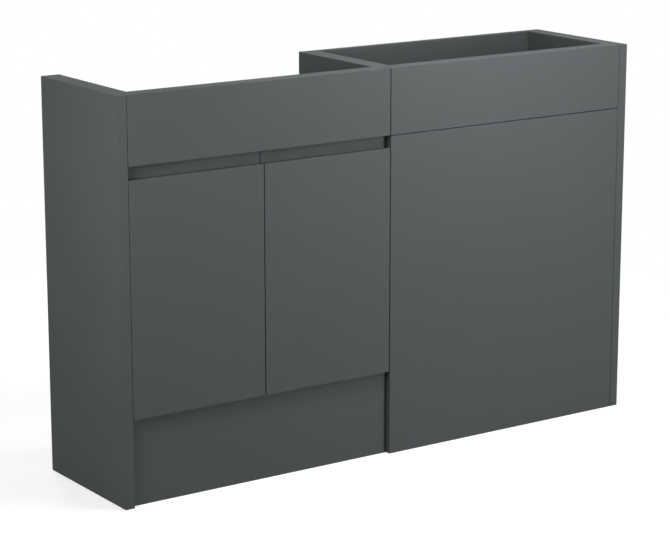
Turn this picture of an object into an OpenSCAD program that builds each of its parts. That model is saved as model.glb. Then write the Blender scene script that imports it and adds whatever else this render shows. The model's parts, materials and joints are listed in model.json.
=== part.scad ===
// Toilet and basin combination unit: a basin cabinet and a WC cabinet side by side,
// between two end panels that stand on the floor.
// X runs along the front, Y towards the wall (the fronts face -Y), Z up.
// The origin is on the floor under the middle of the unit, where the two cabinets meet at X = 0.

/* [Overall] */
// Width of each of the two cabinets, over its sides
cabinet_w = 600; // [500:10:720]
// Height from the floor to the top edges
unit_h = 800; // [700:10:960]
// Depth from the door faces to the wall
unit_d = 300; // [250:5:360]

/* [Boards] */
// Thickness of the end panels
end_t = 20; // [16:1:25]
// Thickness of the cabinet sides
side_t = 20; // [16:1:25]
// Thickness of the doors, the fascia and the front panels
front_t = 20; // [18:1:24]
// Thickness of the rails
rail_t = 16; // [15:1:20]
// Height of the front rails
front_rail_h = 80; // [72:2:90]
// Height of the back rails
back_rail_h = 100; // [80:5:120]
// Thickness of the basin cabinet's floor
floor_t = 18; // [16:1:22]

/* [Fronts] */
// Height of the basin fascia and of the WC upper panel
fascia_h = 135; // [124:1:165]
// Height of the doors' lower edge, which is also the underside of the basin cabinet
door_z0 = 176; // [150:1:215]
// Gap between an end panel and the fronts beside it
end_reveal = 1; // [0.8:0.1:3]
// Gap between the two doors, and between the fronts of the two cabinets
door_gap = 2; // [1.5:0.1:4]
// Gap between the WC upper panel and the lower panel
split_gap = 1.5; // [1:0.1:4]
// Air between a closed door and the cabinet, taken up by the bumpers
door_air = 1; // [0.8:0.1:2]

/* [Finger groove] */
// Height of the open groove between the doors' front edge and the fascia
groove_h = 26; // [18:1:32]
// Depth of the finger channel below the doors' front edge
channel_depth = 15; // [10:1:20]
// Thickness of the lip in front of the channel
lip_t = 5; // [4:0.5:6]
// Thickness of the door's wall behind the channel
channel_wall = 5; // [3:0.5:6]
// Gap between the top of that wall and the fascia
lip_air = 2.5; // [1.5:0.5:5]

/* [Plinth] */
// Distance of the plinth's face behind the door faces
plinth_setback = 12; // [6:1:30]
// Thickness of the plinth
plinth_t = 20; // [16:1:22]
// Gap between the plinth and the doors
plinth_air = 3; // [2:0.5:8]

/* [Hinges] */
// Diameter of the hinge cup's bore in the door
cup_bore_d = 35; // [35:0.5:36]
// Depth of the hinge cup's bore
cup_bore_depth = 12; // [11:0.5:13]
// Width of door left between its edge and the cup's bore
cup_edge = 3; // [3:0.5:4]
// Distance of each hinge from the upper or lower edge of its door
hinge_inset = 95; // [75:5:120]
// Diameter of the pivot pin on the hinge arm
arm_pin_d = 3; // [2.5:0.1:3.2]
// Diameter of the pivot pin in the hinge cup
cup_pin_d = 2; // [1.6:0.1:2.2]

/* [Feet] */
// Outer diameter of the plinth legs' tubes
leg_d = 32; // [28:1:36]
// Diameter of the screw stem in each plinth leg
leg_stem_d = 24; // [18:1:26]
// Distance of the legs' axes from the cabinet's front and back
leg_inset = 50; // [45:1:70]
// Height of the gap between the WC cabinet's sides and the floor
glide_h = 15; // [13:1:25]
// Diameter of the WC glides' screw stems
glide_stem_d = 8; // [6:1:8]

/* [Hidden] */
$fn = 48;

// Clearances
screw_fit = 0.1;    // round a screw, plug or sleeve in its hole
pin_fit = 0.05;     // round a hinge pin, on the radius
slide_fit = 0.3;    // round a part that slides or pulls off, on the radius
cut = 1;            // how far a cut runs past the face that it opens

// Screws: length over all, shank radius, head radius, head height
board_screw = [50, 2.5, 5, 3];
panel_screw = [side_t + 12, 2, 4, 2.5];
fascia_screw = [rail_t + 12, 2, 4, 2.5];
block_screw = [42, 2, 4, 2.5];
leg_screw = [15, 1.75, 3.5, 2];
clip_screw = [14, 1.75, 3.5, 2];
plate_screw = [15, 2.5, 4.5, 2];
cup_screw = [12, 1.75, 3.5, 1.5];
connector_bolt = [30, 3, 7, 2];
connector_sleeve_r = 4;

// Places of the main faces
front_y = -unit_d/2;
back_y = unit_d/2;
rail_front_y = front_y + front_t;
carcass_y = rail_front_y + door_air;
basin_x = -cabinet_w;
wc_x = 0;
fascia_z = unit_h - fascia_h;
split_z = fascia_z - split_gap;

// Rails: the Y of the front face, the Z of the underside, and the height
back_rail_y = back_y - rail_t;
back_rail_drop = 100;    // the basin's upper back rail stays below the basin by this much
wc_back_middle_z = 380;
top_front_rail_z = unit_h - front_rail_h;
basin_front_rail_at = [rail_front_y, top_front_rail_z, front_rail_h];
basin_back_upper_at = [back_rail_y, unit_h - back_rail_h - back_rail_drop, back_rail_h];
basin_back_lower_at = [back_rail_y, door_z0 + floor_t, back_rail_h];
wc_front_top_at = [rail_front_y, top_front_rail_z, front_rail_h];
wc_front_middle_at = [rail_front_y, split_z - front_rail_h/2, front_rail_h];
wc_back_top_at = [back_rail_y, unit_h - back_rail_h, back_rail_h];
wc_back_middle_at = [back_rail_y, wc_back_middle_z, back_rail_h];
basin_rails = [basin_front_rail_at, basin_back_upper_at, basin_back_lower_at];
wc_rails = [wc_front_top_at, wc_front_middle_at, wc_back_top_at, wc_back_middle_at];
rail_screw_pitch = 44;
floor_screw_inset = 40;
floor_screw_y = [carcass_y + floor_screw_inset, (carcass_y + back_y)/2, back_y - floor_screw_inset];

// Holes for the wall screws, through the basin's upper back rail and the WC's top back rail
wall_hole_r = 3;
wall_hole_inset = 80;
wall_hole_spacing = cabinet_w - 2*wall_hole_inset;

// Fronts
basin_front_x0 = basin_x + end_reveal;
basin_front_x1 = -door_gap/2;
wc_front_x0 = door_gap/2;
wc_front_x1 = cabinet_w - end_reveal;
door_w = (basin_front_x1 - basin_front_x0 - door_gap)/2;
door_top_z = fascia_z - lip_air;
lip_z = fascia_z - groove_h;
hinge_z = [door_z0 + hinge_inset, door_top_z - hinge_inset];

// Screws from the cabinet sides into the end panels, each pair above a hinge
end_screw_inset = 60;
end_screw_rise = [35, 42.5];
end_screw_y = [front_y + end_screw_inset, back_y - end_screw_inset];
end_screw_z = hinge_z + end_screw_rise;

// Bolts that join the two cabinets, above the lower hinges and below the upper ones
connector_inset = 85;
connector_rise = [65, -17.5];
connector_y = [front_y + connector_inset, back_y - connector_inset];
connector_z = hinge_z + connector_rise;

// Screws from the basin's front rail into the fascia
fascia_screw_inset = 90;

// WC panel studs and the sockets that hold them
stud_r = 4;
stud_in_panel = 10;
stud_in_socket = 12;
socket_r = 7;
socket_l = 14;
stud_inset = 100;
block_w = 30;
block_d = 40;
block_h = 60;
block_z = 100;
block_screw_pitch = 30;
block_screw_inset = 12;    // from the block's rear face
stud_rise = 25;    // of the studs above or below the split, in the middle rail
upper_studs = [for (x = [stud_inset, cabinet_w - stud_inset],
    z = [unit_h - front_rail_h/2, split_z + stud_rise]) [x, z]];
lower_studs = concat(
    [for (x = [stud_inset, cabinet_w - stud_inset]) [x, split_z - stud_rise]],
    [for (x = [side_t + block_w/2, cabinet_w - side_t - block_w/2]) [x, block_z + block_h/2]]);

// Hinge: places on the door are counted from its outer edge (U) and its face (V)
cup_r = cup_bore_d/2;
cup_u = cup_edge + cup_r;
cup_wall = 0.8;
flange_t = door_air - 0.4;  // stays clear of the side's front edge
flange_r = cup_r + 2;
ear_reach = 30;             // of the flange's ears, up and down
ear_w = 13;
cup_screw_pitch = 48;
cup_screw_u = cup_u + 6;
arm_pivot = [cup_u + 23.5, front_t + 14];
cup_pivot = [cup_u - 13.5, front_t - 4];
link_bend_a = cup_pivot + [3.8, -5.1];
link_bend_b = cup_pivot + [12.2, -1.1];
link_t = 2.4;
link_half_w = 5.5;
cheek_in = 6;               // inner and outer distance of the cheeks from the middle plane
cheek_out = 7.5;
arm_eye_r = 3.2;
link_eye_r = 2.75;
cup_eye_r = 1.7;
side_u = side_t - end_reveal;                  // the side's inner face
plate_line = 37;                               // from the side's front edge to the plate's screws
plate_front = 16;                              // reach of the plate before that line
plate_rear = 40;                               // and behind it
plate_v = front_t + door_air + plate_line;
plate_v0 = plate_v - plate_front;
plate_v1 = plate_v + plate_rear;
plate_pitch = 32;
plate_t = 5;
wing_t = 3;
wing_half_v = 9;
wing_end = 8;                                  // of the wing, beyond each screw
arm_t = 1.5;
arm_u = side_u + plate_t;                      // the arm lies on the plate
arm_crown = 12;                                // height of the arm over the plate
arm_screw_inset = 14;
arm_screw_v = plate_v1 - arm_screw_inset;
arm_screw_r = 2.5;
web_rise = 7;                                  // from the arm's pivot to its web
knee_inset = 2;                                // from the plate's front to the web's knee
lug_t = 2;                                     // the lugs in the cup that hold its pin
lug_edge = 2.6;
pin_end_gap = 0.1;

// Door bumpers
bumper_r = 4;
bumper_spread = 40;         // of the lower two, each way from the middle
bumper_drop = 30;           // of the upper two, below the doors' front edge

// Plinth legs
leg_x = [basin_x + side_t + leg_inset, basin_x + cabinet_w - side_t - leg_inset];
leg_y = [carcass_y + leg_inset, back_y - leg_inset];
leg_flange_r = 30;
leg_flange_t = 5;
leg_screw_r = 24;
leg_tube_z = 60;
leg_stem_top = 120;
foot_r = 27;
foot_h = 8;
foot_boss_r = 17;
foot_boss_h = 16;
clip_z = 105;
clip_h = 22;
clip_wall = 3;
clip_neck = 14;
clip_foot_w = 46;
clip_screw_pitch = 34;
plinth_y = front_y + plinth_setback;
plinth_back_y = plinth_y + plinth_t;
plinth_h = door_z0 - plinth_air;

// WC glides
glide_inset = 30;
glide_y = [carcass_y + glide_inset, back_y - glide_inset];
glide_nut_r = glide_stem_d/2 + 2.5;
glide_nut_l = 25;
glide_stem_top = 50;
glide_hole_top = 80;
glide_foot_r = side_t/2 - 0.5;  // stays under its side board
glide_pad_h = 5;
glide_hex_top = 7;
glide_hex_r = 6.5;

// Colours
satin_grey = [0.30, 0.335, 0.33];
steel = [0.72, 0.73, 0.74];
black_plastic = [0.12, 0.12, 0.13];
pale_plastic = [0.82, 0.82, 0.80];

// A board from its lowest corner to its highest
module board(low, high) {
    translate(low) cube(high - low);
}

// A cylinder along X, Y or Z, from its first end
module rod_x(l, r) {
    rotate([0, 90, 0]) cylinder(h = l, r = r);
}
module rod_y(l, r) {
    rotate([-90, 0, 0]) cylinder(h = l, r = r);
}

// A screw along +X, the outer face of its head at the origin. grow makes the hole for it.
module screw(kind, grow = 0) {
    translate([-grow, 0, 0]) rod_x(kind[0] + 2*grow, kind[1] + grow);
    translate([-grow, 0, 0]) rod_x(kind[3] + 2*grow, kind[2] + grow);
}

// Puts what points along +X at the middle of each rail end, on both outer faces of a cabinet
module at_rail_ends(cabinet_x, rails) {
    for (at = rails, k = [-1, 1]) {
        y = at[0] + rail_t/2;
        z = at[1] + at[2]/2 + k*rail_screw_pitch/2;
        translate([cabinet_x, y, z]) children();
        translate([cabinet_x + cabinet_w, y, z]) mirror([1, 0, 0]) children();
    }
}

// The same for the ends of the basin cabinet's floor
module at_floor_ends() {
    for (y = floor_screw_y) {
        translate([basin_x, y, door_z0 + floor_t/2]) children();
        translate([basin_x + cabinet_w, y, door_z0 + floor_t/2]) mirror([1, 0, 0]) children();
    }
}

// Inner face of the basin's left side, pointing out to the left end panel
module at_left_end_screws() {
    for (y = end_screw_y, z = end_screw_z)
        translate([basin_x + side_t, y, z]) mirror([1, 0, 0]) children();
}

// Inner face of the WC's right side, pointing out to the right end panel
module at_right_end_screws() {
    for (y = end_screw_y, z = end_screw_z)
        translate([wc_x + cabinet_w - side_t, y, z]) children();
}

// On the joint of the two cabinets
module at_connectors() {
    for (y = connector_y, z = connector_z) translate([0, y, z]) children();
}

// Rear face of the basin's front rail, pointing to the fascia
module at_fascia_screws() {
    for (x = [basin_x + fascia_screw_inset, basin_x + cabinet_w - fascia_screw_inset],
         k = [-1, 1])
        translate([x, rail_front_y + rail_t, unit_h - front_rail_h/2 + k*rail_screw_pitch/2])
            rotate([0, 0, -90]) children();
}

// Both blocks, each on the inner face of its side, pointing out to that side
module at_block_screws() {
    for (k = [-1, 1]) {
        y = rail_front_y + block_d - block_screw_inset;
        z = block_z + block_h/2 + k*block_screw_pitch/2;
        translate([wc_x + side_t + block_w, y, z]) mirror([1, 0, 0]) children();
        translate([wc_x + cabinet_w - side_t - block_w, y, z]) children();
    }
}

// On the rails' front face, each stud given by its X and Z
module at_studs(studs) {
    for (s = studs) translate([s[0], rail_front_y, s[1]]) children();
}

// The left and the right door's own corner, with X as U and Y as V
module on_left_door() {
    translate([basin_front_x0, front_y, 0]) children();
}
module on_right_door() {
    translate([basin_front_x1, front_y, 0]) mirror([1, 0, 0]) children();
}
module on_both_doors() {
    on_left_door() children();
    on_right_door() children();
}
module at_hinges() {
    for (z = hinge_z) translate([0, 0, z]) children();
}

// ---- Boards ----

module end_panel(x0) {
    color(satin_grey) difference() {
        board([x0, front_y, 0], [x0 + end_t, back_y, unit_h]);
        at_left_end_screws() screw(panel_screw, screw_fit);
        at_right_end_screws() screw(panel_screw, screw_fit);
    }
}

module cabinet_side(x0, z0) {
    board([x0, carcass_y, z0], [x0 + side_t, back_y, unit_h]);
}

// Round holes for the bolts that join the cabinets
module connector_holes() {
    at_connectors() translate([-side_t - cut, 0, 0])
        rod_x(2*side_t + 2*cut, connector_sleeve_r + screw_fit);
}

module basin_side(x0) {
    color(satin_grey) difference() {
        cabinet_side(x0, door_z0);
        at_rail_ends(basin_x, basin_rails) screw(board_screw, screw_fit);
        at_floor_ends() screw(board_screw, screw_fit);
        on_both_doors() at_hinges() at_plate_screws() screw(plate_screw, screw_fit);
        if (x0 < -side_t) at_left_end_screws() screw(panel_screw, screw_fit);
        if (x0 >= -side_t) connector_holes();
    }
}

module wc_side(x0) {
    color(satin_grey) difference() {
        cabinet_side(x0, glide_h);
        at_rail_ends(wc_x, wc_rails) screw(board_screw, screw_fit);
        at_block_screws() screw(block_screw, screw_fit);
        for (y = glide_y) translate([x0 + side_t/2, y, 0]) {
            cylinder(h = glide_h + glide_nut_l, r = glide_nut_r + screw_fit);
            cylinder(h = glide_hole_top, r = glide_stem_d/2 + slide_fit);
        }
        if (x0 > side_t) at_right_end_screws() screw(panel_screw, screw_fit);
        if (x0 <= side_t) connector_holes();
    }
}

module rail(cabinet_x, at) {
    board([cabinet_x + side_t, at[0], at[1]],
          [cabinet_x + cabinet_w - side_t, at[0] + rail_t, at[1] + at[2]]);
}

module wall_holes(cabinet_x, at) {
    for (k = [-1, 1])
        translate([cabinet_x + cabinet_w/2 + k*wall_hole_spacing/2, at[0] - cut, at[1] + at[2]/2])
            rod_y(rail_t + 2*cut, wall_hole_r);
}

module basin_rail(at) {
    color(satin_grey) difference() {
        rail(basin_x, at);
        at_rail_ends(basin_x, [at]) screw(board_screw, screw_fit);
        if (at == basin_front_rail_at) at_fascia_screws() screw(fascia_screw, screw_fit);
        if (at == basin_back_upper_at) wall_holes(basin_x, at);
    }
}

module wc_rail(at) {
    color(satin_grey) difference() {
        rail(wc_x, at);
        at_rail_ends(wc_x, [at]) screw(board_screw, screw_fit);
        if (at[0] == rail_front_y) at_studs(concat(upper_studs, lower_studs))
            translate([0, -cut, 0]) rod_y(rail_t + 2*cut, socket_r + screw_fit);
        if (at == wc_back_top_at) wall_holes(wc_x, at);
    }
}

module basin_floor() {
    color(satin_grey) difference() {
        board([basin_x + side_t, carcass_y, door_z0], [-side_t, back_y, door_z0 + floor_t]);
        at_floor_ends() screw(board_screw, screw_fit);
        at_leg_screws() screw(leg_screw, screw_fit);
    }
}

module basin_fascia() {
    color(satin_grey) difference() {
        board([basin_front_x0, front_y, fascia_z], [basin_front_x1, rail_front_y, unit_h]);
        at_fascia_screws() screw(fascia_screw, screw_fit);
    }
}

module wc_corner_blocks() {
    color(pale_plastic) difference() {
        for (x = [wc_x + side_t, wc_x + cabinet_w - side_t - block_w])
            board([x, rail_front_y, block_z], [x + block_w, rail_front_y + block_d, block_z + block_h]);
        at_studs(lower_studs) translate([0, -cut, 0]) rod_y(socket_l + cut, socket_r + screw_fit);
        at_block_screws() screw(block_screw, screw_fit);
    }
}

// ---- Doors and panels ----

// One door from its own corner. The channel behind its lip has a round floor.
module door() {
    channel_w = front_t - channel_wall - lip_t;
    channel_r = channel_w/2;
    floor_z = lip_z - channel_depth;
    difference() {
        union() {
            board([0, 0, door_z0], [door_w, front_t, floor_z + channel_r]);
            board([0, 0, floor_z], [door_w, lip_t, lip_z]);
            board([0, front_t - channel_wall, floor_z], [door_w, front_t, door_top_z]);
        }
        translate([-cut, lip_t + channel_r, floor_z + channel_r]) rod_x(door_w + 2*cut, channel_r);
        at_hinges() translate([cup_u, front_t - cup_bore_depth, 0]) rod_y(cup_bore_depth + cut, cup_r);
        at_hinges() at_cup_screws() screw(cup_screw, screw_fit);
    }
}

module wc_panel(z0, z1, studs) {
    color(satin_grey) difference() {
        board([wc_front_x0, front_y, z0], [wc_front_x1, rail_front_y, z1]);
        at_studs(studs) translate([0, -stud_in_panel - screw_fit, 0])
            rod_y(stud_in_panel + screw_fit + cut, stud_r + screw_fit);
    }
}

module studs(places) {
    color(pale_plastic) at_studs(places)
        translate([0, -stud_in_panel, 0]) rod_y(stud_in_panel + stud_in_socket, stud_r);
}

module wc_stud_sockets() {
    color(black_plastic) difference() {
        at_studs(concat(upper_studs, lower_studs)) rod_y(socket_l, socket_r);
        at_studs(concat(upper_studs, lower_studs))
            translate([0, -cut, 0]) rod_y(socket_l + 2*cut, stud_r + slide_fit);
    }
}

module plinth() {
    color(satin_grey) difference() {
        board([basin_front_x0, plinth_y, 0], [basin_front_x1, plinth_back_y, plinth_h]);
        at_clip_screws() screw(clip_screw, screw_fit);
    }
}

// ---- Plinth clips ----

module at_clip_screws() {
    for (x = leg_x, k = [-1, 1])
        translate([x + k*clip_screw_pitch/2, plinth_back_y + clip_wall, clip_z])
            rotate([0, 0, -90]) children();
}

// A foot on the plinth's back, a neck, and a half ring round the leg that is open to the back
module plinth_clips() {
    jaw_r = leg_d/2 + slide_fit;
    color(black_plastic) difference() {
        for (x = leg_x) translate([x, 0, clip_z - clip_h/2]) {
            board([-clip_foot_w/2, plinth_back_y, 0],
                  [clip_foot_w/2, plinth_back_y + clip_wall, clip_h]);
            board([-clip_neck/2, plinth_back_y, 0], [clip_neck/2, leg_y[0] - leg_d/2, clip_h]);
            intersection() {
                translate([0, leg_y[0], 0]) cylinder(h = clip_h, r = jaw_r + clip_wall);
                board([-leg_d, plinth_back_y, 0], [leg_d, leg_y[0], clip_h]);
            }
        }
        for (x = leg_x) translate([x, leg_y[0], clip_z - clip_h])
            cylinder(h = 2*clip_h, r = jaw_r);
        at_clip_screws() screw(clip_screw, screw_fit);
    }
}

// ---- Plinth legs ----

module at_legs() {
    for (x = leg_x, y = leg_y) translate([x, y, 0]) children();
}

// Under the flanges, pointing up into the floor
module at_leg_screws() {
    at_legs() for (a = [45:90:315])
        rotate([0, 0, a]) translate([leg_screw_r, 0, door_z0 - leg_flange_t])
            rotate([0, -90, 0]) children();
}

module leg_sockets() {
    color(black_plastic) difference() {
        at_legs() {
            translate([0, 0, door_z0 - leg_flange_t]) cylinder(h = leg_flange_t, r = leg_flange_r);
            translate([0, 0, leg_tube_z]) cylinder(h = door_z0 - leg_tube_z, d = leg_d);
        }
        at_legs() translate([0, 0, leg_tube_z - cut])
            cylinder(h = door_z0 - leg_tube_z - leg_flange_t + cut, r = leg_stem_d/2 + slide_fit);
        at_leg_screws() screw(leg_screw, screw_fit);
    }
}

module leg_foot(x, y) {
    color(black_plastic) translate([x, y, 0]) {
        cylinder(h = foot_h, r = foot_r);
        cylinder(h = foot_boss_h, r = foot_boss_r);
        cylinder(h = leg_stem_top, d = leg_stem_d);
    }
}

// ---- Connectors ----

// From the WC side, each with a plain bore for the bolt's shank
module connector_sleeves() {
    difference() {
        at_connectors() translate([side_t + connector_bolt[3], 0, 0]) mirror([1, 0, 0]) {
            rod_x(connector_bolt[0], connector_sleeve_r);
            rod_x(connector_bolt[3], connector_bolt[2]);
        }
        at_connectors() translate([-side_t, 0, 0])
            rod_x(2*side_t, connector_bolt[1] + screw_fit);
    }
}

// ---- WC glides ----

module at_glides() {
    for (x = [wc_x + side_t/2, wc_x + cabinet_w - side_t/2], y = glide_y)
        translate([x, y, 0]) children();
}

module glide_nuts() {
    color(steel) difference() {
        at_glides() translate([0, 0, glide_h]) cylinder(h = glide_nut_l, r = glide_nut_r);
        at_glides() cylinder(h = glide_h + glide_nut_l + cut, r = glide_stem_d/2 + slide_fit);
    }
}

module glide_foot(x, y) {
    color(black_plastic) translate([x, y, 0]) {
        cylinder(h = glide_pad_h, r = glide_foot_r);
        cylinder(h = glide_hex_top, r = glide_hex_r, $fn = 6);
        cylinder(h = glide_stem_top, d = glide_stem_d);
    }
}

// ---- Hinges, drawn at their door's own corner with the hinge's middle plane at Z = 0 ----

// The unit normal to the left of the run between two points
function left_of(from, to) = let (run = (to - from)/norm(to - from)) [-run[1], run[0]];

// The point beside point i of a bent line, on the mitre of the runs that meet there
function beside(line, i, reach) =
    let (before = left_of(line[max(i - 1, 0)], line[max(i, 1)]),
         after = left_of(line[min(i, len(line) - 2)], line[min(i + 1, len(line) - 1)]))
    line[i] + reach*(before + after)/(1 + before*after);

// A strip of thickness t along a bent line, half_w up and down
module strip(line, t, half_w) {
    last = len(line) - 1;
    near = [for (i = [0:last]) beside(line, i, t/2)];
    far = [for (i = [last:-1:0]) beside(line, i, -t/2)];
    translate([0, 0, -half_w]) linear_extrude(height = 2*half_w) polygon(concat(near, far));
}

module pillar(at, r, half_w) {
    translate([at[0], at[1], -half_w]) cylinder(h = 2*half_w, r = r);
}

// Pointing into the side board
module at_plate_screws() {
    for (k = [-1, 1])
        translate([side_u + wing_t, plate_v, k*plate_pitch/2]) mirror([1, 0, 0]) children();
}

// Pointing into the door
module at_cup_screws() {
    for (k = [-1, 1])
        translate([cup_screw_u, front_t + flange_t, k*cup_screw_pitch/2])
            rotate([0, 0, -90]) children();
}

module hinge_plate() {
    wing_reach = plate_pitch/2 + wing_end;
    difference() {
        union() {
            board([side_u, plate_v0, -cheek_in], [arm_u, plate_v1, cheek_in]);
            board([side_u, plate_v - wing_half_v, -wing_reach],
                  [side_u + wing_t, plate_v + wing_half_v, wing_reach]);
        }
        at_plate_screws() screw(plate_screw, screw_fit);
        translate([side_u - cut, arm_screw_v, 0]) rod_x(plate_t + 2*cut, arm_screw_r + screw_fit);
    }
}

// Two cheeks and the web over them, from the plate to the pivot
module hinge_arm() {
    crown_u = arm_u + arm_crown;
    knee_v = plate_v0 + knee_inset;
    web_u = crown_u - arm_t/2;
    web_v = arm_pivot[1] + web_rise;
    difference() {
        union() {
            for (side = [-cheek_out, cheek_in]) translate([0, 0, side]) {
                linear_extrude(height = cheek_out - cheek_in) polygon([
                    [arm_pivot[0] - arm_eye_r, arm_pivot[1]],
                    [arm_pivot[0] + arm_eye_r, arm_pivot[1]],
                    [arm_pivot[0] + arm_eye_r, web_v],
                    [crown_u, knee_v],
                    [crown_u, plate_v1],
                    [arm_u, plate_v1],
                    [arm_u, knee_v]]);
                translate([arm_pivot[0], arm_pivot[1], 0])
                    cylinder(h = cheek_out - cheek_in, r = arm_eye_r);
            }
            strip([[arm_pivot[0] + arm_eye_r - arm_t/2, web_v], [web_u, knee_v], [web_u, plate_v1]],
                  arm_t, cheek_out);
        }
        pillar(arm_pivot, arm_pin_d/2 + pin_fit, cheek_out + cut);
        translate([web_u - arm_t, arm_screw_v, 0]) rod_x(2*arm_t, arm_screw_r + screw_fit);
    }
}

// Through the arm into the plate; its tip stays inside the plate
module hinge_arm_screw() {
    head_r = 4.5;
    head_h = 2;
    tip_depth = plate_t - 1;
    reach = arm_crown + tip_depth;
    translate([arm_u + arm_crown - reach, arm_screw_v, 0]) rod_x(reach, arm_screw_r);
    translate([arm_u + arm_crown, arm_screw_v, 0]) rod_x(head_h, head_r);
}

// The bent link that carries the door, from the cup's pivot to the arm's pivot
module hinge_link() {
    difference() {
        union() {
            strip([cup_pivot, link_bend_a, link_bend_b, arm_pivot], link_t, link_half_w);
            pillar(cup_pivot, cup_eye_r, link_half_w);
            pillar(arm_pivot, link_eye_r, link_half_w);
        }
        pillar(cup_pivot, cup_pin_d/2 + pin_fit, link_half_w + cut);
        pillar(arm_pivot, arm_pin_d/2 + pin_fit, link_half_w + cut);
    }
}

// The cup in its bore, its flange on the door's back with two ears, and two lugs for the pin
module hinge_cup() {
    outer_r = cup_r - screw_fit;
    inner_r = outer_r - cup_wall;
    floor_v = front_t - cup_bore_depth + screw_fit;
    difference() {
        union() {
            translate([cup_u, floor_v, 0]) rod_y(front_t - floor_v + flange_t, outer_r);
            translate([cup_u, front_t, 0]) rod_y(flange_t, flange_r);
            board([cup_screw_u - ear_w/2, front_t, -ear_reach],
                  [cup_screw_u + ear_w/2, front_t + flange_t, ear_reach]);
        }
        difference() {
            translate([cup_u, floor_v + cup_wall, 0])
                rod_y(cup_bore_depth + flange_t, inner_r);
            for (side = [-cheek_in - lug_t, cheek_in])
                board([0, 0, side], [cup_pivot[0] + lug_edge, front_t, side + lug_t]);
        }
        pillar(cup_pivot, cup_pin_d/2 + pin_fit, cheek_in + lug_t);
        at_cup_screws() screw(cup_screw, screw_fit);
    }
}

module hinge_cup_pin() {
    pillar(cup_pivot, cup_pin_d/2, cheek_in + lug_t - pin_end_gap);
}

module hinge_plates() {
    color(steel) on_both_doors() at_hinges() hinge_plate();
}
module hinge_plate_screws() {
    color(steel) on_both_doors() at_hinges() at_plate_screws() screw(plate_screw);
}
module hinge_arms() {
    color(steel) on_both_doors() at_hinges() hinge_arm();
}
module hinge_arm_screws() {
    color(steel) on_both_doors() at_hinges() hinge_arm_screw();
}
module hinge_arm_pins() {
    color(steel) on_both_doors() at_hinges() pillar(arm_pivot, arm_pin_d/2, cheek_out);
}

// Two on the front edge of the floor and one high up on each side
module door_bumpers() {
    low_z = door_z0 + floor_t/2;
    high_z = lip_z - bumper_drop;
    middle_x = basin_x + cabinet_w/2;
    places = [
        [middle_x - bumper_spread, low_z], [middle_x + bumper_spread, low_z],
        [basin_x + side_t/2, high_z], [basin_x + cabinet_w - side_t/2, high_z]];
    color(pale_plastic) for (p = places)
        translate([p[0], rail_front_y, p[1]]) rod_y(door_air, bumper_r);
}

// ---- Nodes ----

end_panel(basin_x - end_t);  // end_panel_left
end_panel(cabinet_w);  // end_panel_right
basin_side(basin_x);  // basin_side_left
basin_side(-side_t);  // basin_side_right
basin_floor();
basin_rail(basin_front_rail_at);  // basin_front_rail
basin_rail(basin_back_upper_at);  // basin_back_rail_upper
basin_rail(basin_back_lower_at);  // basin_back_rail_lower
basin_fascia();
wc_side(wc_x);  // wc_side_left
wc_side(wc_x + cabinet_w - side_t);  // wc_side_right
wc_rail(wc_front_top_at);  // wc_front_rail_top
wc_rail(wc_front_middle_at);  // wc_front_rail_middle
wc_rail(wc_back_top_at);  // wc_back_rail_top
wc_rail(wc_back_middle_at);  // wc_back_rail_middle
wc_corner_blocks();
color(steel) {  // board_screws
    at_rail_ends(basin_x, basin_rails) screw(board_screw);
    at_rail_ends(wc_x, wc_rails) screw(board_screw);
    at_floor_ends() screw(board_screw);
}
color(steel) {  // end_panel_screws
    at_left_end_screws() screw(panel_screw);
    at_right_end_screws() screw(panel_screw);
}
color(steel) at_fascia_screws() screw(fascia_screw);  // fascia_screws
color(steel) at_block_screws() screw(block_screw);  // block_screws
color(steel)  // connector_bolts
    at_connectors() translate([-side_t - connector_bolt[3], 0, 0]) screw(connector_bolt);
color(steel) connector_sleeves();
leg_sockets();
color(steel) at_leg_screws() screw(leg_screw);  // leg_screws
glide_nuts();
hinge_plates();
hinge_plate_screws();
hinge_arms();
hinge_arm_screws();
hinge_arm_pins();
door_bumpers();
wc_stud_sockets();
plinth();
plinth_clips();
color(steel) at_clip_screws() screw(clip_screw);  // plinth_clip_screws
color(satin_grey) on_left_door() door();  // door_left
color(steel) on_left_door() at_hinges() hinge_cup();  // hinge_cups_left
color(steel)  // hinge_cup_pins_left
    on_left_door() at_hinges() hinge_cup_pin();
color(steel)  // hinge_cup_screws_left
    on_left_door() at_hinges() at_cup_screws() screw(cup_screw);
color(steel) on_left_door() at_hinges() hinge_link();  // hinge_links_left
color(satin_grey) on_right_door() door();  // door_right
color(steel)  // hinge_cups_right
    on_right_door() at_hinges() hinge_cup();
color(steel)  // hinge_cup_pins_right
    on_right_door() at_hinges() hinge_cup_pin();
color(steel)  // hinge_cup_screws_right
    on_right_door() at_hinges() at_cup_screws() screw(cup_screw);
color(steel)  // hinge_links_right
    on_right_door() at_hinges() hinge_link();
wc_panel(fascia_z, unit_h, upper_studs);  // wc_upper_panel
studs(upper_studs);  // wc_upper_studs
wc_panel(0, split_z, lower_studs);  // wc_lower_panel
studs(lower_studs);  // wc_lower_studs
leg_foot(leg_x[0], leg_y[0]);  // leg_foot_front_left
leg_foot(leg_x[1], leg_y[0]);  // leg_foot_front_right
leg_foot(leg_x[0], leg_y[1]);  // leg_foot_back_left
leg_foot(leg_x[1], leg_y[1]);  // leg_foot_back_right
glide_foot(side_t/2, glide_y[0]);  // glide_foot_front_left
glide_foot(cabinet_w - side_t/2, glide_y[0]);  // glide_foot_front_right
glide_foot(side_t/2, glide_y[1]);  // glide_foot_back_left
glide_foot(cabinet_w - side_t/2, glide_y[1]);  // glide_foot_back_right
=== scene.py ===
"""Looks of the basin and WC unit: dark foiled boards, nickelled hinges and screws, moulded feet.

Every piece is made from a CAD node's own solids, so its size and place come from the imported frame.
"""

import json
import math

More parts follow.
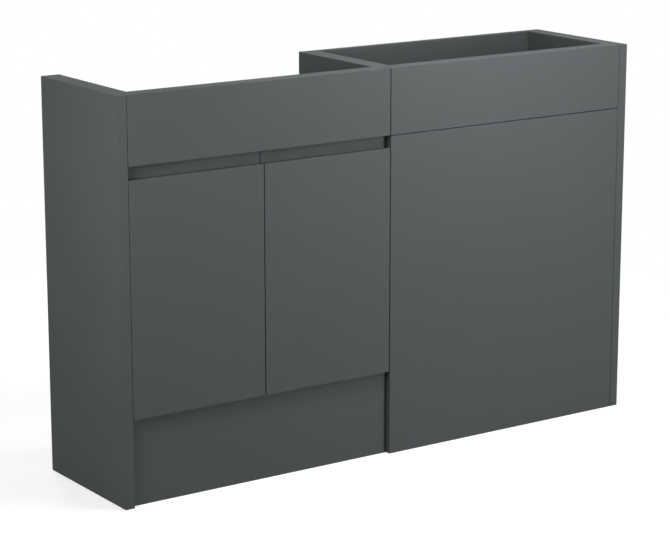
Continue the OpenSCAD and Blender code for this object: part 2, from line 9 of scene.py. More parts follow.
import bmesh
import bpy
import numpy as np
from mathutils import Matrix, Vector


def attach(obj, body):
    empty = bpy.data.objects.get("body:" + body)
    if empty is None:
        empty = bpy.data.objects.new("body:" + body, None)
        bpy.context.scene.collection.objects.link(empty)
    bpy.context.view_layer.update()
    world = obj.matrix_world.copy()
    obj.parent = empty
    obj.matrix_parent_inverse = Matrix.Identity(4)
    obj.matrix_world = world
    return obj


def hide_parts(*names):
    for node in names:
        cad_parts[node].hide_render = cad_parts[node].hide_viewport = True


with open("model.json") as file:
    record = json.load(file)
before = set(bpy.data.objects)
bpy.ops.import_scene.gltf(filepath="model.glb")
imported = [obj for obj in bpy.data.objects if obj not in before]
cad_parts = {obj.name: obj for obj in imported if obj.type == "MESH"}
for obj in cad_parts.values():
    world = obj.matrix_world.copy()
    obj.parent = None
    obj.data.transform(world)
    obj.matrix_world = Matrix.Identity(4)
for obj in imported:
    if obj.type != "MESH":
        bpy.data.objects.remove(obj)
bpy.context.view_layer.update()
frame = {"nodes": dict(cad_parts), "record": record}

MM = 0.001
WELD = 0.002 * MM           # corners closer than this are one
STATION = 0.02 * MM         # stations of a turned outline closer than this are one
SHARP = math.radians(20)    # a crease steeper than this stays sharp, and is rounded
FLAT = math.radians(0.2)    # faces within this of each other are one
DRILLED = 5 * MM            # on a board, a shorter edge is part of a drilled hole's rim
SHORTEST = 0.3 * MM         # a shorter edge elsewhere isn't rounded

# Rounding of the edges, by material slot
EDGE = {
    "board": 0.5 * MM,
    "steel": 0.1 * MM,
    "black_plastic": 0.3 * MM,
    "pale_plastic": 0.4 * MM,
    "bumper": 0.2 * MM,
}

# Pitches of the screws' threads
WOOD_PITCH = 2.2 * MM
BOARD_PITCH = 3.0 * MM
BOLT_PITCH = 1.0 * MM

# A screw's shank, in shares of its radius
THREAD_DEPTH = 0.22
TIP_LENGTH = 1.5
TIP_RADIUS = 0.25
THREAD_START = 0.1          # in shares of the shank's length

# The face of a screw's head, in shares of the head's radius
FACE_REACH = 0.86           # the face ends here, and the rounded rim begins
CROSS_REACH = 0.62
CROSS_WIDTH = 0.17
CROSS_RISE = 0.5            # the cross is shallower by this share at its ends
SOCKET_REACH = 0.4
RECESS_WALL = 0.08          # width of a recess's sloping wall

# Depths along a screw's head, in shares of the head's height
RECESS_DEPTH = 0.6
CROWN = 0.18                # rise of the head's dome
RIM_DROP = 0.3
STUB_END = 1.6              # the plain stub under the head ends here
SHANK_START = 1.5           # and the shank starts inside it

# Screw feet
LEG_PITCH = 4.0 * MM
LEG_DEPTH = 0.9 * MM
LEG_SOFT = 1.2 * MM         # rounding of a leg's pad and boss
GRIPS = 24                  # scallops round a leg's pad
GRIP_DEPTH = 0.8 * MM
GLIDE_PITCH = 1.25 * MM
GLIDE_DEPTH = 0.6 * MM
GLIDE_SOFT = 0.8 * MM       # rounding of a glide's pad

# Push-fit studs, whose nose is in shares of their radius
BARB_PITCH = 2.4 * MM
BARB_DEPTH = 0.45 * MM
STUD_NOSE = 0.5
STUD_TAPER = 0.35

BUMPER_CROWN = 0.62         # radius of a bumper's flat crown, in shares of its foot's

# Camera, fitted to the corners of the furniture in the photograph
CAMERA_AT = (-2.6579, -3.8166, 1.4629)
CAMERA_TURN = 34.532        # degrees to the right of the wall's normal
CAMERA_DIP = 13.367         # degrees below the horizon
CAMERA_LENS = 123.7         # mm
CAMERA_SENSOR = 36.0        # mm

# Light: (name, place, aimed at, size in metres, watts)
LAMPS = [
    ("lamp_over", (0.2, -0.65, 1.75), (0.1, -0.15, 0.7), 0.4, 8.4),
    ("lamp_over_near", (0.25, -0.53, 1.45), (0.15, -0.15, 0.7), 0.3, 2.7),
    ("lamp_front_near", (0.4, -0.85, 0.95), (0.2, -0.15, 0.75), 0.3, 2.0),
    ("lamp_front", (1.1, -2.4, 0.66), (0.2, -0.15, 0.55), 0.5, 28.5),
    ("lamp_left", (-1.5, -0.5, 1.0), (-0.6, 0.0, 0.6), 0.5, 10.2),
    ("lamp_back", (0.2, 2.3, 0.4), (0.1, 0.1, 0.4), 0.8, 45.0),
    ("lamp_back_right", (2.6, 0.8, 0.8), (0.5, 0.0, 0.4), 1.2, 24.0),
]
FILL = 0.06                 # strength of the world where the camera doesn't see it
FLOOR_HALF = 12.0
FLOOR_WHITE = 0.6           # the floor's grey as the camera sees it
FLOOR_BOUNCE = 0.3          # and as it lights the object
FLOOR_LIFT = 0.62           # added to what the camera sees of the floor
FLOOR_NEAR = 0.85           # the floor shows its shading inside this distance
FLOOR_FAR = 1.7             # and is plain white beyond this one


# ---- Solids of the CAD nodes ----

def merged_copy(node):
    """A bmesh of a CAD node's mesh with its loose triangles joined."""
    shape = bmesh.new()
    shape.from_mesh(frame["nodes"][node].data)
    bmesh.ops.remove_doubles(shape, verts=shape.verts, dist=WELD)
    return shape


def solids_of(node):
    """The corners of each connected solid of a CAD node, one array of points a solid.

    Each corner takes the lowest number among its neighbours until nothing changes.
    """
    shape = merged_copy(node)
    mesh = bpy.data.meshes.new(node + "_solids")
    shape.to_mesh(mesh)
    shape.free()
    points = np.empty(3 * len(mesh.vertices), np.float32)
    ends = np.empty(2 * len(mesh.edges), np.int32)
    mesh.vertices.foreach_get("co", points)
    mesh.edges.foreach_get("vertices", ends)
    bpy.data.meshes.remove(mesh)
    points, ends = points.reshape(-1, 3).astype(float), ends.reshape(-1, 2)
    label = np.arange(len(points))
    while True:
        low = label.copy()
        np.minimum.at(low, ends[:, 0], label[ends[:, 1]])
        np.minimum.at(low, ends[:, 1], label[ends[:, 0]])
        low = low[low]
        if (low == label).all():
            return [points[label == k] for k in np.unique(label)]
        label = low


def turned(points):
    """Start, direction and outline of a turned solid, its wider end first.

    The axis is the one whose two other sizes are equal. The outline is a list of (distance along
    the axis, largest radius) at each station, from the wide end.
    """
    low, high = points.min(0), points.max(0)
    size = high - low
    axis = min(range(3), key=lambda i: abs(size[(i + 1) % 3] - size[(i + 2) % 3]))
    middle = (low + high) / 2
    across = np.delete(points - middle, axis, 1)
    radius = np.hypot(across[:, 0], across[:, 1])
    station = np.round(points[:, axis] / STATION) * STATION
    found = np.unique(station)
    outline = np.array([[s, radius[station == s].max()] for s in found])
    way = 1.0
    if outline[-1, 1] > outline[0, 1] + STATION:
        outline, way = outline[::-1], -1.0
    start = middle.copy()
    start[axis] = outline[0, 0]
    direction = np.zeros(3)
    direction[axis] = way
    outline[:, 0] = np.abs(outline[:, 0] - start[axis])
    return start, direction, outline


# ---- Surfaces ----

def wrapped(grid):
    """Points and quads over a grid of rows by columns, its last column closed to the first."""
    rows, columns = grid.shape[:2]
    index = np.arange(rows * columns).reshape(rows, columns)
    beside = np.roll(index, -1, 1)
    quads = np.stack([index[:-1], index[1:], beside[1:], beside[:-1]], -1)
    return grid.reshape(-1, 3), quads.reshape(-1, 4)


def revolve(along, radius, turns=48):
    """A surface of revolution about X: x = along, y = radius cos(a), z = radius sin(a).

    radius holds one number a row, or one for each row and angle.
    """
    a = np.linspace(0, 2 * np.pi, turns, endpoint=False)
    along, radius = np.asarray(along, float), np.asarray(radius, float)
    if radius.ndim == 1:
        radius = np.repeat(radius[:, None], turns, 1)
    x = np.repeat(along[:, None], turns, 1)
    return wrapped(np.stack([x, radius * np.cos(a), radius * np.sin(a)], -1))


def thread(start, end, radius, pitch, depth, turns=16, steps=4):
    """Stations and radii of a threaded rod about X.

    The radius falls from the crest by depth times a triangle wave of (x / pitch - angle / full
    turn), which is a helix, and the wave fades out over one pitch at both ends.
    """
    rows = max(8, int((end - start) / pitch * steps) + 1)
    x = np.linspace(start, end, rows)
    a = np.linspace(0, 2 * np.pi, turns, endpoint=False)
    phase = x[:, None] / pitch - a / (2 * np.pi)
    wave = np.abs(2 * (phase - np.floor(phase)) - 1)
    fade = np.clip(np.minimum(x - start, end - x) / pitch, 0, 1)[:, None]
    return x, radius - depth * wave * fade


def cross_recess(y, z, r):
    """Depth of a cross, 0 to 1: the deeper of two soft-edged bars, rising outwards as a cone."""
    soft = RECESS_WALL * r

    def bar(u, v):
        """A bar along u, soft at its sides and its ends."""
        across = np.clip((CROSS_WIDTH * r - np.abs(v)) / soft + 0.5, 0, 1)
        return across * np.clip((CROSS_REACH * r - np.abs(u)) / soft + 0.5, 0, 1)

    cone = 1 - CROSS_RISE * np.hypot(y, z) / (CROSS_REACH * r)
    return np.maximum(bar(y, z), bar(z, y)) * cone


def socket_recess(y, z, r):
    """Depth of a hexagon socket, 0 to 1: a step at the furthest of its three pairs of flats."""
    sixth = math.pi / 3
    flats = [np.abs(y * math.cos(k * sixth) + z * math.sin(k * sixth)) for k in range(3)]
    return np.clip((SOCKET_REACH * r - np.maximum.reduce(flats)) / (RECESS_WALL * r) + 0.5, 0, 1)


def screw_head(radius, height, shank_r, recess, turns=32, rings=12):
    """A closed pan head about X, on a polar grid.

    Its face drops as the square of the distance from the middle, less the recess. The rim is a
    quarter round, and a flat underside leads to a stub of the shank.
    """
    r = np.linspace(0, 1, rings)[:, None] * FACE_REACH * radius
    a = np.linspace(0, 2 * np.pi, turns, endpoint=False)[None, :]
    sunk = RECESS_DEPTH * height * recess(r * np.cos(a), r * np.sin(a), radius)
    face_x = CROWN * height * (r / radius) ** 2 + sunk
    t = np.linspace(0, np.pi / 2, 5)[1:, None]
    rim_x = face_x[-1:].min() + RIM_DROP * height * (1 - np.cos(t))
    rim_r = (FACE_REACH + (1 - FACE_REACH) * np.sin(t)) * radius
    under_x = np.array([[1], [1], [STUB_END], [STUB_END]]) * height
    under_r = np.array([[radius], [shank_r], [shank_r], [0.0]])
    even = np.zeros((1, turns))
    x = np.vstack([face_x, rim_x + even, under_x + even])
    radii = np.vstack([r + even, rim_r + even, under_r + even])
    return wrapped(np.stack([x, radii * np.cos(a), radii * np.sin(a)], -1))


def screw_shank(start, length, radius, pitch, turns=16):
    """A closed threaded shank about X, whose tip narrows in a straight line to a small flat end."""
    first = start + THREAD_START * (length - start)
    last = length - TIP_LENGTH * radius
    x, r = thread(first, last, radius, pitch, THREAD_DEPTH * radius, turns)
    even = np.zeros((1, turns))
    along = np.concatenate([[start, start], x, [length, length]])
    rows = np.vstack([even, even + radius, r, even + TIP_RADIUS * radius, even])
    return revolve(along, rows, turns)


def placed(part, start, direction):
    """A part made about X, moved to start with X turned to direction, handedness kept."""
    points, quads = part
    side = np.roll(np.abs(direction), 1)
    other = np.cross(direction, side)
    turn = np.stack([direction, side, other])
    return points @ turn + start, quads


def joined(parts):
    """Several parts as one list of points and one of quads."""
    points, quads, count = [], [], 0
    for p, q in parts:
        points.append(p)
        quads.append(q + count)
        count += len(p)
    return np.concatenate(points), np.concatenate(quads)


def screw(points, recess, pitch):
    """A screw in the space of one CAD screw, or two of them where their heads touch."""
    start, direction, outline = turned(points)
    if outline[0, 1] < outline[:, 1].max() - STATION:
        along = (points - (points.min(0) + points.max(0)) / 2) @ direction
        halves = [points[along <= STATION], points[along >= -STATION]]
        return joined([screw(half, recess, pitch) for half in halves])
    length, head_r, shank_r = outline[-1, 0], outline[0, 1], outline[-1, 1]
    head_h = outline[outline[:, 1] > shank_r + STATION, 0].max()
    parts = [screw_head(head_r, head_h, shank_r, recess),
             screw_shank(SHANK_START * head_h, length, shank_r, pitch)]
    return joined([placed(p, start, direction) for p in parts])


def wood_screw(points):
    """A cross-head screw for boards and fittings."""
    return screw(points, cross_recess, WOOD_PITCH)


def board_screw(points):
    """A coarse screw with a hexagon socket, which joins two boards."""
    return screw(points, socket_recess, BOARD_PITCH)


def connector_bolt(points):
    """A machine screw that draws the two cabinets together."""
    return screw(points, cross_recess, BOLT_PITCH)


def pin(points):
    """A pin with both ends rounded: the radius falls on a quarter circle over a third of itself."""
    start, direction, outline = turned(points)
    length, r = outline[-1, 0], outline[0, 1]
    arc = np.linspace(0, np.pi / 2, 6)
    nose = r / 3
    in_by, out_to = nose * (1 - np.cos(arc)), r - nose * (1 - np.sin(arc))
    x = np.concatenate([[0], in_by, length - in_by[::-1], [length]])
    radius = np.concatenate([[0], out_to, out_to[::-1], [0]])
    return placed(revolve(x, radius, 24), start, direction)


def stud(points):
    """A push-fit stud with barbs on its shank and a rounded nose at each end.

    The radius falls by a saw-tooth of the distance along it, and by a square law over each nose.
    """
    start, direction, outline = turned(points)
    length, r = outline[-1, 0], outline[0, 1]
    x = np.linspace(0, length, 90)
    tooth = np.mod(x, BARB_PITCH) / BARB_PITCH
    ends = np.minimum(x, length - x)
    taper = np.clip(1 - ends / (STUD_NOSE * r), 0, 1) ** 2
    radius = r - BARB_DEPTH * tooth - STUD_TAPER * r * taper
    x = np.concatenate([[0], x, [length]])
    radius = np.concatenate([[0], radius, [0]])
    return placed(revolve(x, radius, 32), start, direction)


def dome(points):
    """A bumper: a flat crown at its start, then a quarter of an ellipse down to its wider foot."""
    start, direction, outline = turned(points)
    height, r = outline[-1, 0], outline[0, 1]
    t = np.linspace(0, np.pi / 2, 10)
    x = np.concatenate([[0], height * (1 - np.cos(t)), [height]])
    radius = np.concatenate([[0], r * (BUMPER_CROWN + (1 - BUMPER_CROWN) * np.sin(t)), [0]])
    return placed(revolve(x, radius, 32), start, direction)


def leg_foot(points):
    """A leg's foot: a pad with a scalloped rim, a boss, and a coarse threaded stem.

    The pad's radius is r - depth (1 - cos(grips a)) / 2 at the angle a.
    """
    start, direction, outline = turned(points)
    pad_r, top = outline[0, 1], outline[-1, 0]
    stem_r = outline[-1, 1]
    pad_h = outline[outline[:, 1] > pad_r - STATION, 0].max()
    boss = outline[(outline[:, 1] < pad_r - STATION) & (outline[:, 1] > stem_r + STATION)]
    boss_h, boss_r = boss[:, 0].max(), boss[:, 1].max()
    turns, soft = 96, LEG_SOFT
    a = np.linspace(0, 2 * np.pi, turns, endpoint=False)
    dip = GRIP_DEPTH * (1 - np.cos(GRIPS * a)) / 2
    pad = np.array([pad_r - soft, pad_r, pad_r, pad_r - soft])[:, None] - dip
    even = np.zeros((1, turns))
    waist = np.array([boss_r + soft, boss_r, boss_r - soft])[:, None] + even
    x, r = thread(boss_h, top - soft, stem_r, LEG_PITCH, LEG_DEPTH, turns, 8)
    rows = np.vstack([even, pad, waist, r, even + stem_r - soft, even])
    foot = [0, 0, soft, pad_h - soft, pad_h, pad_h, boss_h - soft, boss_h]
    return placed(revolve(np.concatenate([foot, x, [top, top]]), rows, turns), start, direction)


def glide_foot(points):
    """A WC glide: a round pad, a hexagon for a spanner, and a fine threaded stem.

    The hexagon's radius is its half width across flats over the cosine of the angle from a flat.
    """
    start, direction, outline = turned(points)
    pad_r, top = outline[0, 1], outline[-1, 0]
    stem_r = outline[-1, 1]
    pad_h = outline[outline[:, 1] > pad_r - STATION, 0].max()
    hex_top = outline[outline[:, 1] > stem_r + STATION, 0].max()
    hex_r = outline[(outline[:, 0] > pad_h + STATION) & (outline[:, 1] > stem_r + STATION), 1].max()
    turns, soft = 48, GLIDE_SOFT
    a = np.linspace(0, 2 * np.pi, turns, endpoint=False)
    sixth = np.pi / 3
    flats = hex_r * math.cos(sixth / 2) / np.cos(np.mod(a + sixth / 2, sixth) - sixth / 2)
    even = np.zeros((1, turns))
    pad = np.array([0, pad_r - soft, pad_r, pad_r, pad_r - soft])[:, None] + even
    x, r = thread(hex_top, top - soft / 2, stem_r, GLIDE_PITCH, GLIDE_DEPTH, turns, 6)
    rows = np.vstack([pad, flats[None], flats[None], r, even + stem_r - soft, even])
    foot = [0, 0, soft, pad_h - soft, pad_h, pad_h, hex_top]
    return placed(revolve(np.concatenate([foot, x, [top, top]]), rows, turns), start, direction)


# ---- Pieces ----

def finished(shape, node, materials):
    """Makes a bmesh the piece that stands for a CAD node, and frees it.

    Shading is smooth across creases up to SHARP. The CAD mesh's own normals are dropped, because
    they don't fit the new edges.
    """
    mesh = bpy.data.meshes.new(node + "_finished")
    shape.to_mesh(mesh)
    shape.free()
    if "custom_normal" in mesh.attributes:
        mesh.attributes.remove(mesh.attributes["custom_normal"])
    mesh.shade_smooth()
    mesh.set_sharp_from_angle(angle=SHARP)
    for made in materials:
        mesh.materials.append(made)
    piece = bpy.data.objects.new(mesh.name, mesh)
    bpy.context.scene.collection.objects.link(piece)
    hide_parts(node)
    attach(piece, BODY[node])


def softened(node):
    """A CAD node with its edges rounded in two steps, whose faces take the worn edge material.

    Flat neighbours are merged into one face first. A rim of short edges on a board is a drilled
    hole, which stays crisp.
    """
    shape = merged_copy(node)
    bmesh.ops.dissolve_limit(shape, angle_limit=FLAT, verts=shape.verts, edges=shape.edges)
    least = DRILLED if SLOT[node] == "board" else SHORTEST
    edges = [e for e in shape.edges if e.calc_face_angle(0.0) > SHARP and e.calc_length() > least]
    bmesh.ops.bevel(shape, geom=edges, offset=EDGE[SLOT[node]], segments=2, profile=0.5,
                    affect="EDGES", clamp_overlap=False, material=1)
    finished(shape, node, MATERIALS[SLOT[node]])


def worked(node, shape_of):
    """A piece made by shape_of from each solid of a CAD node."""
    points, quads = joined([shape_of(solid) for solid in solids_of(node)])
    rough = bpy.data.meshes.new(node + "_rough")
    rough.from_pydata(points, [], quads)
    shape = bmesh.new()
    shape.from_mesh(rough)
    bpy.data.meshes.remove(rough)
    bmesh.ops.remove_doubles(shape, verts=shape.verts, dist=WELD)
    bmesh.ops.recalc_face_normals(shape, faces=shape.faces)
    finished(shape, node, MATERIALS[SLOT[node]][:1])


# ---- Node groups ----

SMUDGE_RANGE = (0.42, 0.7)  # the part of the noise that spreads into smudges
DUST_SCALE = 420.0          # scales are per metre
RUB_FINE_SCALE = 500.0
RUB_FINE = 0.35             # share of the fine noise in the rubbed spots
RUB_LEVEL = 0.95
RUB_CONTRAST = 6.0
SCRATCH_STRETCH = 0.04


def new_group(name, inputs, outputs):
    """An empty shader node group; inputs are (name, kind, value) and outputs (name, kind)."""
    group = bpy.data.node_groups.new(name, "ShaderNodeTree")
    for label, kind, value in inputs:
        socket = group.interface.new_socket(label, in_out="INPUT", socket_type=kind)
        if value is not None:
            socket.default_value = value
    for label, kind in outputs:
        group.interface.new_socket(label, in_out="OUTPUT", socket_type=kind)
    return group, group.nodes.new("NodeGroupInput"), group.nodes.new("NodeGroupOutput")


def noise(tree, vector, scale, detail=3.0, roughness=0.5):
    """A Noise Texture node; scale is a socket or a number, per metre."""
    node = tree.nodes.new("ShaderNodeTexNoise")
    node.inputs["Detail"].default_value = detail
    node.inputs["Roughness"].default_value = roughness
    tree.links.new(vector, node.inputs["Vector"])
    if isinstance(scale, bpy.types.NodeSocket):
        tree.links.new(scale, node.inputs["Scale"])
    else:
        node.inputs["Scale"].default_value = scale
    return node.outputs["Fac"]


def maths(tree, operation, a, b, clamp=False):
    """A Math node on two sockets or numbers."""
    node = tree.nodes.new("ShaderNodeMath")
    node.operation = operation
    node.use_clamp = clamp
    for socket, value in zip(node.inputs, (a, b)):
        if isinstance(value, bpy.types.NodeSocket):
            tree.links.new(value, socket)
        else:
            socket.default_value = value
    return node.outputs[0]


def spread(tree, value, low, high, to_low=0.0, to_high=1.0):
    """A Map Range node, clamped."""
    node = tree.nodes.new("ShaderNodeMapRange")
    tree.links.new(value, node.inputs["Value"])
    limits = {"From Min": low, "From Max": high, "To Min": to_low, "To Max": to_high}
    for name, number in limits.items():
        node.inputs[name].default_value = number
    return node.outputs["Result"]


def scaled(tree, colour, value):
    """A colour times a value."""
    node = tree.nodes.new("ShaderNodeVectorMath")
    node.operation = "SCALE"
    tree.links.new(colour, node.inputs[0])
    tree.links.new(value, node.inputs["Scale"])
    return node.outputs["Vector"]


def tone_group():
    """Colour variation: a slow drift and a fine speckle, each multiplying the colour round one."""
    group, given, out = new_group(
        "tone_variation",
        [("Vector", "NodeSocketVector", None), ("Color", "NodeSocketColor", None),
         ("Drift", "NodeSocketFloat", 0.03), ("Drift Scale", "NodeSocketFloat", 4.0),
         ("Speckle", "NodeSocketFloat", 0.02), ("Speckle Scale", "NodeSocketFloat", 600.0)],
        [("Color", "NodeSocketColor")])
    total = 1.0
    for amount, scale in (("Drift", "Drift Scale"), ("Speckle", "Speckle Scale")):
        pattern = noise(group, given.outputs["Vector"], given.outputs[scale])
        swing = maths(group, "MULTIPLY", maths(group, "SUBTRACT", pattern, 0.5), 2.0)
        total = maths(group, "ADD", total, maths(group, "MULTIPLY", swing, given.outputs[amount]))
    group.links.new(scaled(group, given.outputs["Color"], total), out.inputs["Color"])
    return group


def peel_group():
    """Height of a foiled or moulded skin: a soft peel and a finer grain."""
    group, given, out = new_group(
        "skin_height",
        [("Vector", "NodeSocketVector", None), ("Peel Scale", "NodeSocketFloat", 260.0),
         ("Grain Scale", "NodeSocketFloat", 1600.0), ("Grain", "NodeSocketFloat", 0.35)],
        [("Height", "NodeSocketFloat")])
    peel = noise(group, given.outputs["Vector"], given.outputs["Peel Scale"], 2.0)
    grain = noise(group, given.outputs["Vector"], given.outputs["Grain Scale"], 2.0)
    mixed = maths(group, "MULTIPLY", grain, given.outputs["Grain"])
    group.links.new(maths(group, "ADD", peel, mixed), out.inputs["Height"])
    return group


def handling_group():
    """Roughness: a base value, cloudy smudges that polish it and dust that dulls it."""
    group, given, out = new_group(
        "handling_roughness",
        [("Vector", "NodeSocketVector", None), ("Base", "NodeSocketFloat", 0.45),
         ("Smudge", "NodeSocketFloat", 0.06), ("Smudge Scale", "NodeSocketFloat", 9.0),
         ("Fine", "NodeSocketFloat", 0.03)],
        [("Roughness", "NodeSocketFloat")])
    where = given.outputs["Vector"]
    cloud = spread(group, noise(group, where, given.outputs["Smudge Scale"], 4.0), *SMUDGE_RANGE)
    smudge = maths(group, "MULTIPLY", cloud, given.outputs["Smudge"])
    dust = maths(group, "SUBTRACT", noise(group, where, DUST_SCALE, 2.0), 0.5)
    dulled = maths(group, "MULTIPLY", dust, given.outputs["Fine"])
    value = maths(group, "SUBTRACT", given.outputs["Base"], smudge)
    group.links.new(maths(group, "ADD", value, dulled), out.inputs["Roughness"])
    return group


def rub_group():
    """A broken mask of rubbed spots along an edge: two noises, cut where they pass a level."""
    group, given, out = new_group(
        "rubbed_mask",
        [("Vector", "NodeSocketVector", None), ("Scale", "NodeSocketFloat", 45.0),
         ("Cover", "NodeSocketFloat", 0.3)],
        [("Mask", "NodeSocketFloat")])
    broad = noise(group, given.outputs["Vector"], given.outputs["Scale"], 4.0, 0.6)
    fine = noise(group, given.outputs["Vector"], RUB_FINE_SCALE, 2.0)
    both = maths(group, "ADD", broad, maths(group, "MULTIPLY", fine, RUB_FINE))
    level = maths(group, "SUBTRACT", RUB_LEVEL, given.outputs["Cover"])
    above = maths(group, "SUBTRACT", both, level)
    group.links.new(maths(group, "MULTIPLY", above, RUB_CONTRAST, clamp=True), out.inputs["Mask"])
    return group


def brushed_group():
    """Height of fine parallel scratches: noise stretched along Y."""
    group, given, out = new_group(
        "brushed_height",
        [("Vector", "NodeSocketVector", None), ("Scale", "NodeSocketFloat", 900.0)],
        [("Height", "NodeSocketFloat")])
    stretch = group.nodes.new("ShaderNodeMapping")
    stretch.inputs["Scale"].default_value = (1.0, SCRATCH_STRETCH, 1.0)
    group.links.new(given.outputs["Vector"], stretch.inputs["Vector"])
    height = noise(group, stretch.outputs["Vector"], given.outputs["Scale"])
    group.links.new(height, out.inputs["Height"])
    return group


# ---- Materials ----

def use(tree, group, vector, **values):
    """A node group placed in a material with its inputs set; underscores stand for spaces."""
    node = tree.nodes.new("ShaderNodeGroup")
    node.node_tree = group
    tree.links.new(vector, node.inputs["Vector"])
    for name, value in values.items():
        node.inputs[name.replace("_", " ")].default_value = value
    return node


def material(name, colour, rough, bump, tone=None, skin="peel", rubbed=None, shader=None):
    """A Principled material with varied colour and roughness and a bumped skin.

    bump is the (strength, depth) of the skin, tone and rough hold values for the shared groups,
    rubbed is (colour, cover) for worn spots, and shader holds the uniform values set on the
    Principled's own sockets.
    """
    made = bpy.data.materials.new(name)
    made.use_nodes = True
    tree = made.node_tree
    principled = tree.nodes["Principled BSDF"]
    where = tree.nodes.new("ShaderNodeTexCoord").outputs["Object"]
    tone_node = use(tree, GROUPS["tone"], where, Color=(*colour, 1.0), **(tone or {}))
    toned = tone_node.outputs["Color"]
    if rubbed:
        worn_colour, cover = rubbed
        mask = use(tree, GROUPS["rub"], where, Cover=cover).outputs["Mask"]
        mix = tree.nodes.new("ShaderNodeMix")
        mix.data_type = "RGBA"
        tree.links.new(mask, mix.inputs["Factor"])
        tree.links.new(toned, mix.inputs["A"])
        mix.inputs["B"].default_value = (*worn_colour, 1.0)
        toned = mix.outputs["Result"]
    tree.links.new(toned, principled.inputs["Base Color"])
    handled = use(tree, GROUPS["handling"], where, **rough).outputs["Roughness"]
    tree.links.new(handled, principled.inputs["Roughness"])
    skin_node = tree.nodes.new("ShaderNodeBump")
    strength, depth = bump
    skin_node.inputs["Strength"].default_value = strength
    skin_node.inputs["Distance"].default_value = depth
    height = use(tree, GROUPS[skin], where).outputs["Height"]
    tree.links.new(height, skin_node.inputs["Height"])
    tree.links.new(skin_node.outputs["Normal"], principled.inputs["Normal"])
    for socket, value in (shader or {}).items():
        principled.inputs[socket].default_value = value
    return made


def board_foil():
    """The boards' matt foil, and the foil over their edges."""
    foil = (0.078, 0.0872, 0.0892)
    worn = (0.105, 0.116, 0.117)
    satin = {"Base": 0.6, "Smudge": 0.05, "Smudge_Scale": 7.0}
    bump = (0.35, 0.03 * MM)
    matt = {"Specular IOR Level": 0.12}
    return [
        material("satin_foil", foil, satin, bump, {"Drift": 0.02, "Speckle": 0.02}, shader=matt),
        material("satin_foil_edge", foil, satin, bump, {"Drift": 0.02, "Speckle": 0.03},
                 rubbed=(worn, 0.3), shader=matt),
    ]


def nickelled_steel():
    """Brushed and nickelled steel, shinier along its edges."""
    nickel = (0.62, 0.61, 0.585)
    worn = (0.78, 0.77, 0.75)
    plated = {"Base": 0.38, "Smudge": 0.08, "Smudge_Scale": 60.0, "Fine": 0.08}
    polished = {"Base": 0.2, "Fine": 0.05}
    metal = {"Metallic": 1.0}
    return [
        material("nickelled_steel", nickel, plated, (0.4, 0.02 * MM),
                 {"Drift": 0.03, "Drift_Scale": 90.0}, skin="brushed", shader=metal),
        material("nickelled_steel_edge", nickel, polished, (0.3, 0.02 * MM), {"Drift": 0.05},
                 skin="brushed", rubbed=(worn, 0.4), shader=metal),
    ]


def moulding(name, colour, worn, cover, bump, drift):
    """A moulded plastic, and its edges, rubbed paler."""
    moulded = {"Base": 0.5, "Smudge": 0.08, "Smudge_Scale": 30.0}
    return [
        material(name, colour, moulded, (bump, 0.05 * MM), {"Drift": drift, "Drift_Scale": 40.0}),
        material(name + "_edge", colour, moulded, (0.4, 0.04 * MM), {"Drift": drift},
                 rubbed=(worn, cover)),
    ]


def bumper_gel():
    """The doors' clear bumpers."""
    clear = (0.62, 0.62, 0.6)
    bump = (0.2, 0.02 * MM)
    return [
        material("bumper_gel", clear, {"Base": 0.22, "Smudge": 0.08}, bump, {"Drift": 0.03},
                 shader={"Coat Weight": 0.3}),
        material("bumper_gel_edge", clear, {"Base": 0.22}, bump, {"Drift": 0.03}),
    ]


def all_materials():
    """The finish of each slot: the face material, then that of its rounded edges."""
    black, black_worn = (0.022, 0.022, 0.024), (0.06, 0.06, 0.062)
    pale, pale_worn = (0.66, 0.65, 0.61), (0.74, 0.73, 0.7)
    return {
        "board": board_foil(),
        "steel": nickelled_steel(),
        "black_plastic": moulding("black_moulding", black, black_worn, 0.35, 0.5, 0.1),
        "pale_plastic": moulding("pale_moulding", pale, pale_worn, 0.3, 0.4, 0.04),
        "bumper": bumper_gel(),
    }


# ---- Stage ----

def camera_sees(tree):
    """One for rays from the camera, from gloss and through glass, and nothing for the rest."""
    path = tree.nodes.new("ShaderNodeLightPath")
    camera, gloss = path.outputs["Is Camera Ray"], path.outputs["Is Glossy Ray"]
    seen = maths(tree, "ADD", camera, gloss, clamp=True)
    return maths(tree, "ADD", seen, path.outputs["Is Transmission Ray"], clamp=True)


def make_world():
    """A white surrounding to look at, and a dimmer one that lights the object."""
    world = bpy.data.worlds.new("studio")
    bpy.context.scene.world = world
    world.use_nodes = True
    tree = world.node_tree
    background = tree.nodes["Background"]
    background.inputs["Color"].default_value = (1.0, 1.0, 1.0, 1.0)
    strength = spread(tree, camera_sees(tree), 0.0, 1.0, FILL, 1.0)
    tree.links.new(strength, background.inputs["Strength"])


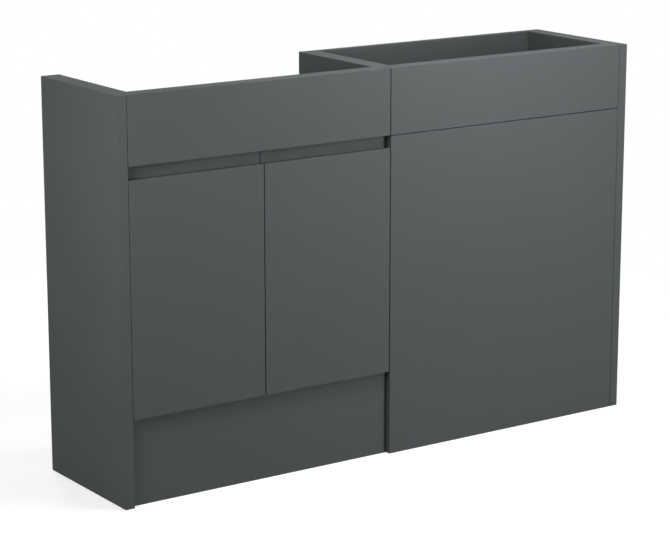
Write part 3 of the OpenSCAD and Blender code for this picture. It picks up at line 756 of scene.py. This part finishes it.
def floor_material():
    """A pale floor that keeps the object's shadow, and is plain white further off.

    What the camera sees is lifted to white where no shadow falls, and the lift lights nothing.
    """
    made = bpy.data.materials.new("pale_floor")
    made.use_nodes = True
    tree = made.node_tree
    tree.nodes.remove(tree.nodes["Principled BSDF"])
    output = tree.nodes["Material Output"]
    seen = camera_sees(tree)
    where = tree.nodes.new("ShaderNodeTexCoord").outputs["Object"]
    length = tree.nodes.new("ShaderNodeVectorMath")
    length.operation = "LENGTH"
    tree.links.new(where, length.inputs[0])
    far = spread(tree, length.outputs["Value"], FLOOR_NEAR, FLOOR_FAR)
    matt = tree.nodes.new("ShaderNodeBsdfDiffuse")
    tree.links.new(spread(tree, seen, 0.0, 1.0, FLOOR_BOUNCE, FLOOR_WHITE), matt.inputs["Color"])
    lift = tree.nodes.new("ShaderNodeEmission")
    tree.links.new(maths(tree, "MULTIPLY", seen, FLOOR_LIFT), lift.inputs["Strength"])
    near = tree.nodes.new("ShaderNodeAddShader")
    tree.links.new(matt.outputs[0], near.inputs[0])
    tree.links.new(lift.outputs[0], near.inputs[1])
    white = tree.nodes.new("ShaderNodeEmission")
    mix = tree.nodes.new("ShaderNodeMixShader")
    tree.links.new(maths(tree, "MULTIPLY", far, seen), mix.inputs[0])
    tree.links.new(near.outputs[0], mix.inputs[1])
    tree.links.new(white.outputs[0], mix.inputs[2])
    tree.links.new(mix.outputs[0], output.inputs["Surface"])
    return made


def make_floor():
    """A flat floor under the feet."""
    half = FLOOR_HALF
    corners = [(-half, -half, 0), (half, -half, 0), (half, half, 0), (-half, half, 0)]
    mesh = bpy.data.meshes.new("floor")
    mesh.from_pydata(corners, [], [(0, 1, 2, 3)])
    floor = bpy.data.objects.new("floor", mesh)
    bpy.context.scene.collection.objects.link(floor)
    mesh.materials.append(floor_material())


def make_lamps():
    """Square soft boxes, each turned to what it lights."""
    for name, place, target, size, watts in LAMPS:
        light = bpy.data.lights.new(name, "AREA")
        light.size = size
        light.energy = watts
        lamp = bpy.data.objects.new(name, light)
        lamp.location = place
        lamp.rotation_euler = (Vector(target) - Vector(place)).to_track_quat("-Z", "Y").to_euler()
        bpy.context.scene.collection.objects.link(lamp)


def make_camera():
    """The camera at the photograph's view."""
    data = bpy.data.cameras.new("camera")
    data.lens = CAMERA_LENS
    data.sensor_width = CAMERA_SENSOR
    camera = bpy.data.objects.new("camera", data)
    camera.location = CAMERA_AT
    camera.rotation_euler = math.radians(90 - CAMERA_DIP), 0.0, math.radians(-CAMERA_TURN)
    bpy.context.scene.collection.objects.link(camera)
    bpy.context.scene.camera = camera


# ---- Making ----

BODIES = frame["record"]["behaviour"]["bodies"]
BODY = {node: body for body, nodes in BODIES.items() for node in nodes}
SLOT = {entry["node"]: entry["material_slot"] for entry in frame["record"]["subparts"]}
GROUPS = {"tone": tone_group(), "peel": peel_group(), "handling": handling_group(),
          "rub": rub_group(), "brushed": brushed_group()}
MATERIALS = all_materials()

# How turned solids are made, by a word in the node's name; the first that fits holds
WAYS = {
    "board_screws": board_screw,
    "connector_bolts": connector_bolt,
    "screws": wood_screw,
    "pins": pin,
    "studs": stud,
    "bumpers": dome,
    "leg_foot": leg_foot,
    "glide_foot": glide_foot,
}


def way_of(node):
    """The function that makes a piece of a node's turned solids, or None for a softened node."""
    for part, way in WAYS.items():
        if part in node:
            return way
    return None


def make_object():
    """A piece for every CAD node."""
    for node in sorted(frame["nodes"]):
        way = way_of(node)
        if way:
            worked(node, way)
        else:
            softened(node)


make_object()
make_world()
make_floor()
make_lamps()
make_camera()
bpy.context.scene.view_settings.view_transform = "Standard"
